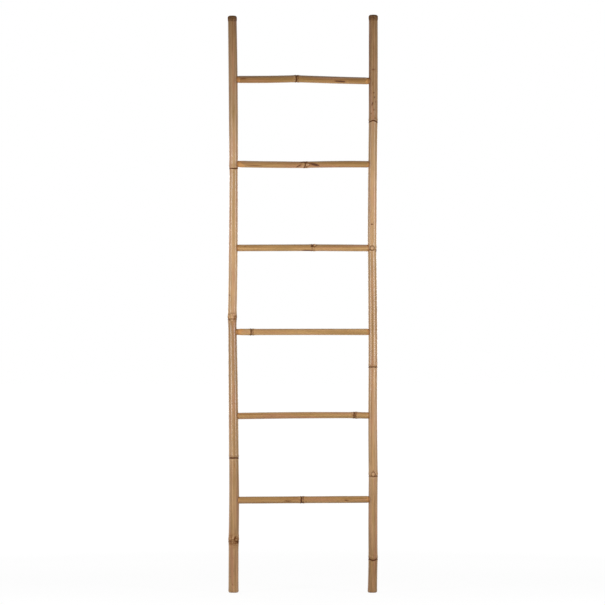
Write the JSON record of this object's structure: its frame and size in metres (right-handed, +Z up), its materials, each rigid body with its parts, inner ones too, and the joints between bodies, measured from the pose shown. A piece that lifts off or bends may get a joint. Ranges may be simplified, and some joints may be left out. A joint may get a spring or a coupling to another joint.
{
  "type": "blanket ladder",
  "caption": "Upright decorative ladder of natural bamboo culms, leaned against a wall to hang blankets or towels over its rungs.",
  "frame": {"origin": "on the floor, midway between the two stiles", "axes": "+Z up along the stiles, +X from the left stile to the right one as seen from the front, the front faces -Y"},
  "size_m": [0.4954, 0.0362, 1.9],
  "materials": {
    "stile_bamboo": "satin",
    "rung_bamboo": "satin",
    "peg_bamboo": "matte"
  },
  "bodies": {
    "root": {"left_stile": "stile_bamboo", "right_stile": "stile_bamboo", "rung_1": "rung_bamboo", "rung_2": "rung_bamboo", "rung_3": "rung_bamboo", "rung_4": "rung_bamboo", "rung_5": "rung_bamboo", "rung_6": "rung_bamboo", "peg_1_left": "peg_bamboo", "peg_1_right": "peg_bamboo", "peg_2_left": "peg_bamboo", "peg_2_right": "peg_bamboo", "peg_3_left": "peg_bamboo", "peg_3_right": "peg_bamboo", "peg_4_left": "peg_bamboo", "peg_4_right": "peg_bamboo", "peg_5_left": "peg_bamboo", "peg_5_right": "peg_bamboo", "peg_6_left": "peg_bamboo", "peg_6_right": "peg_bamboo"}
  },
  "joints": []
}
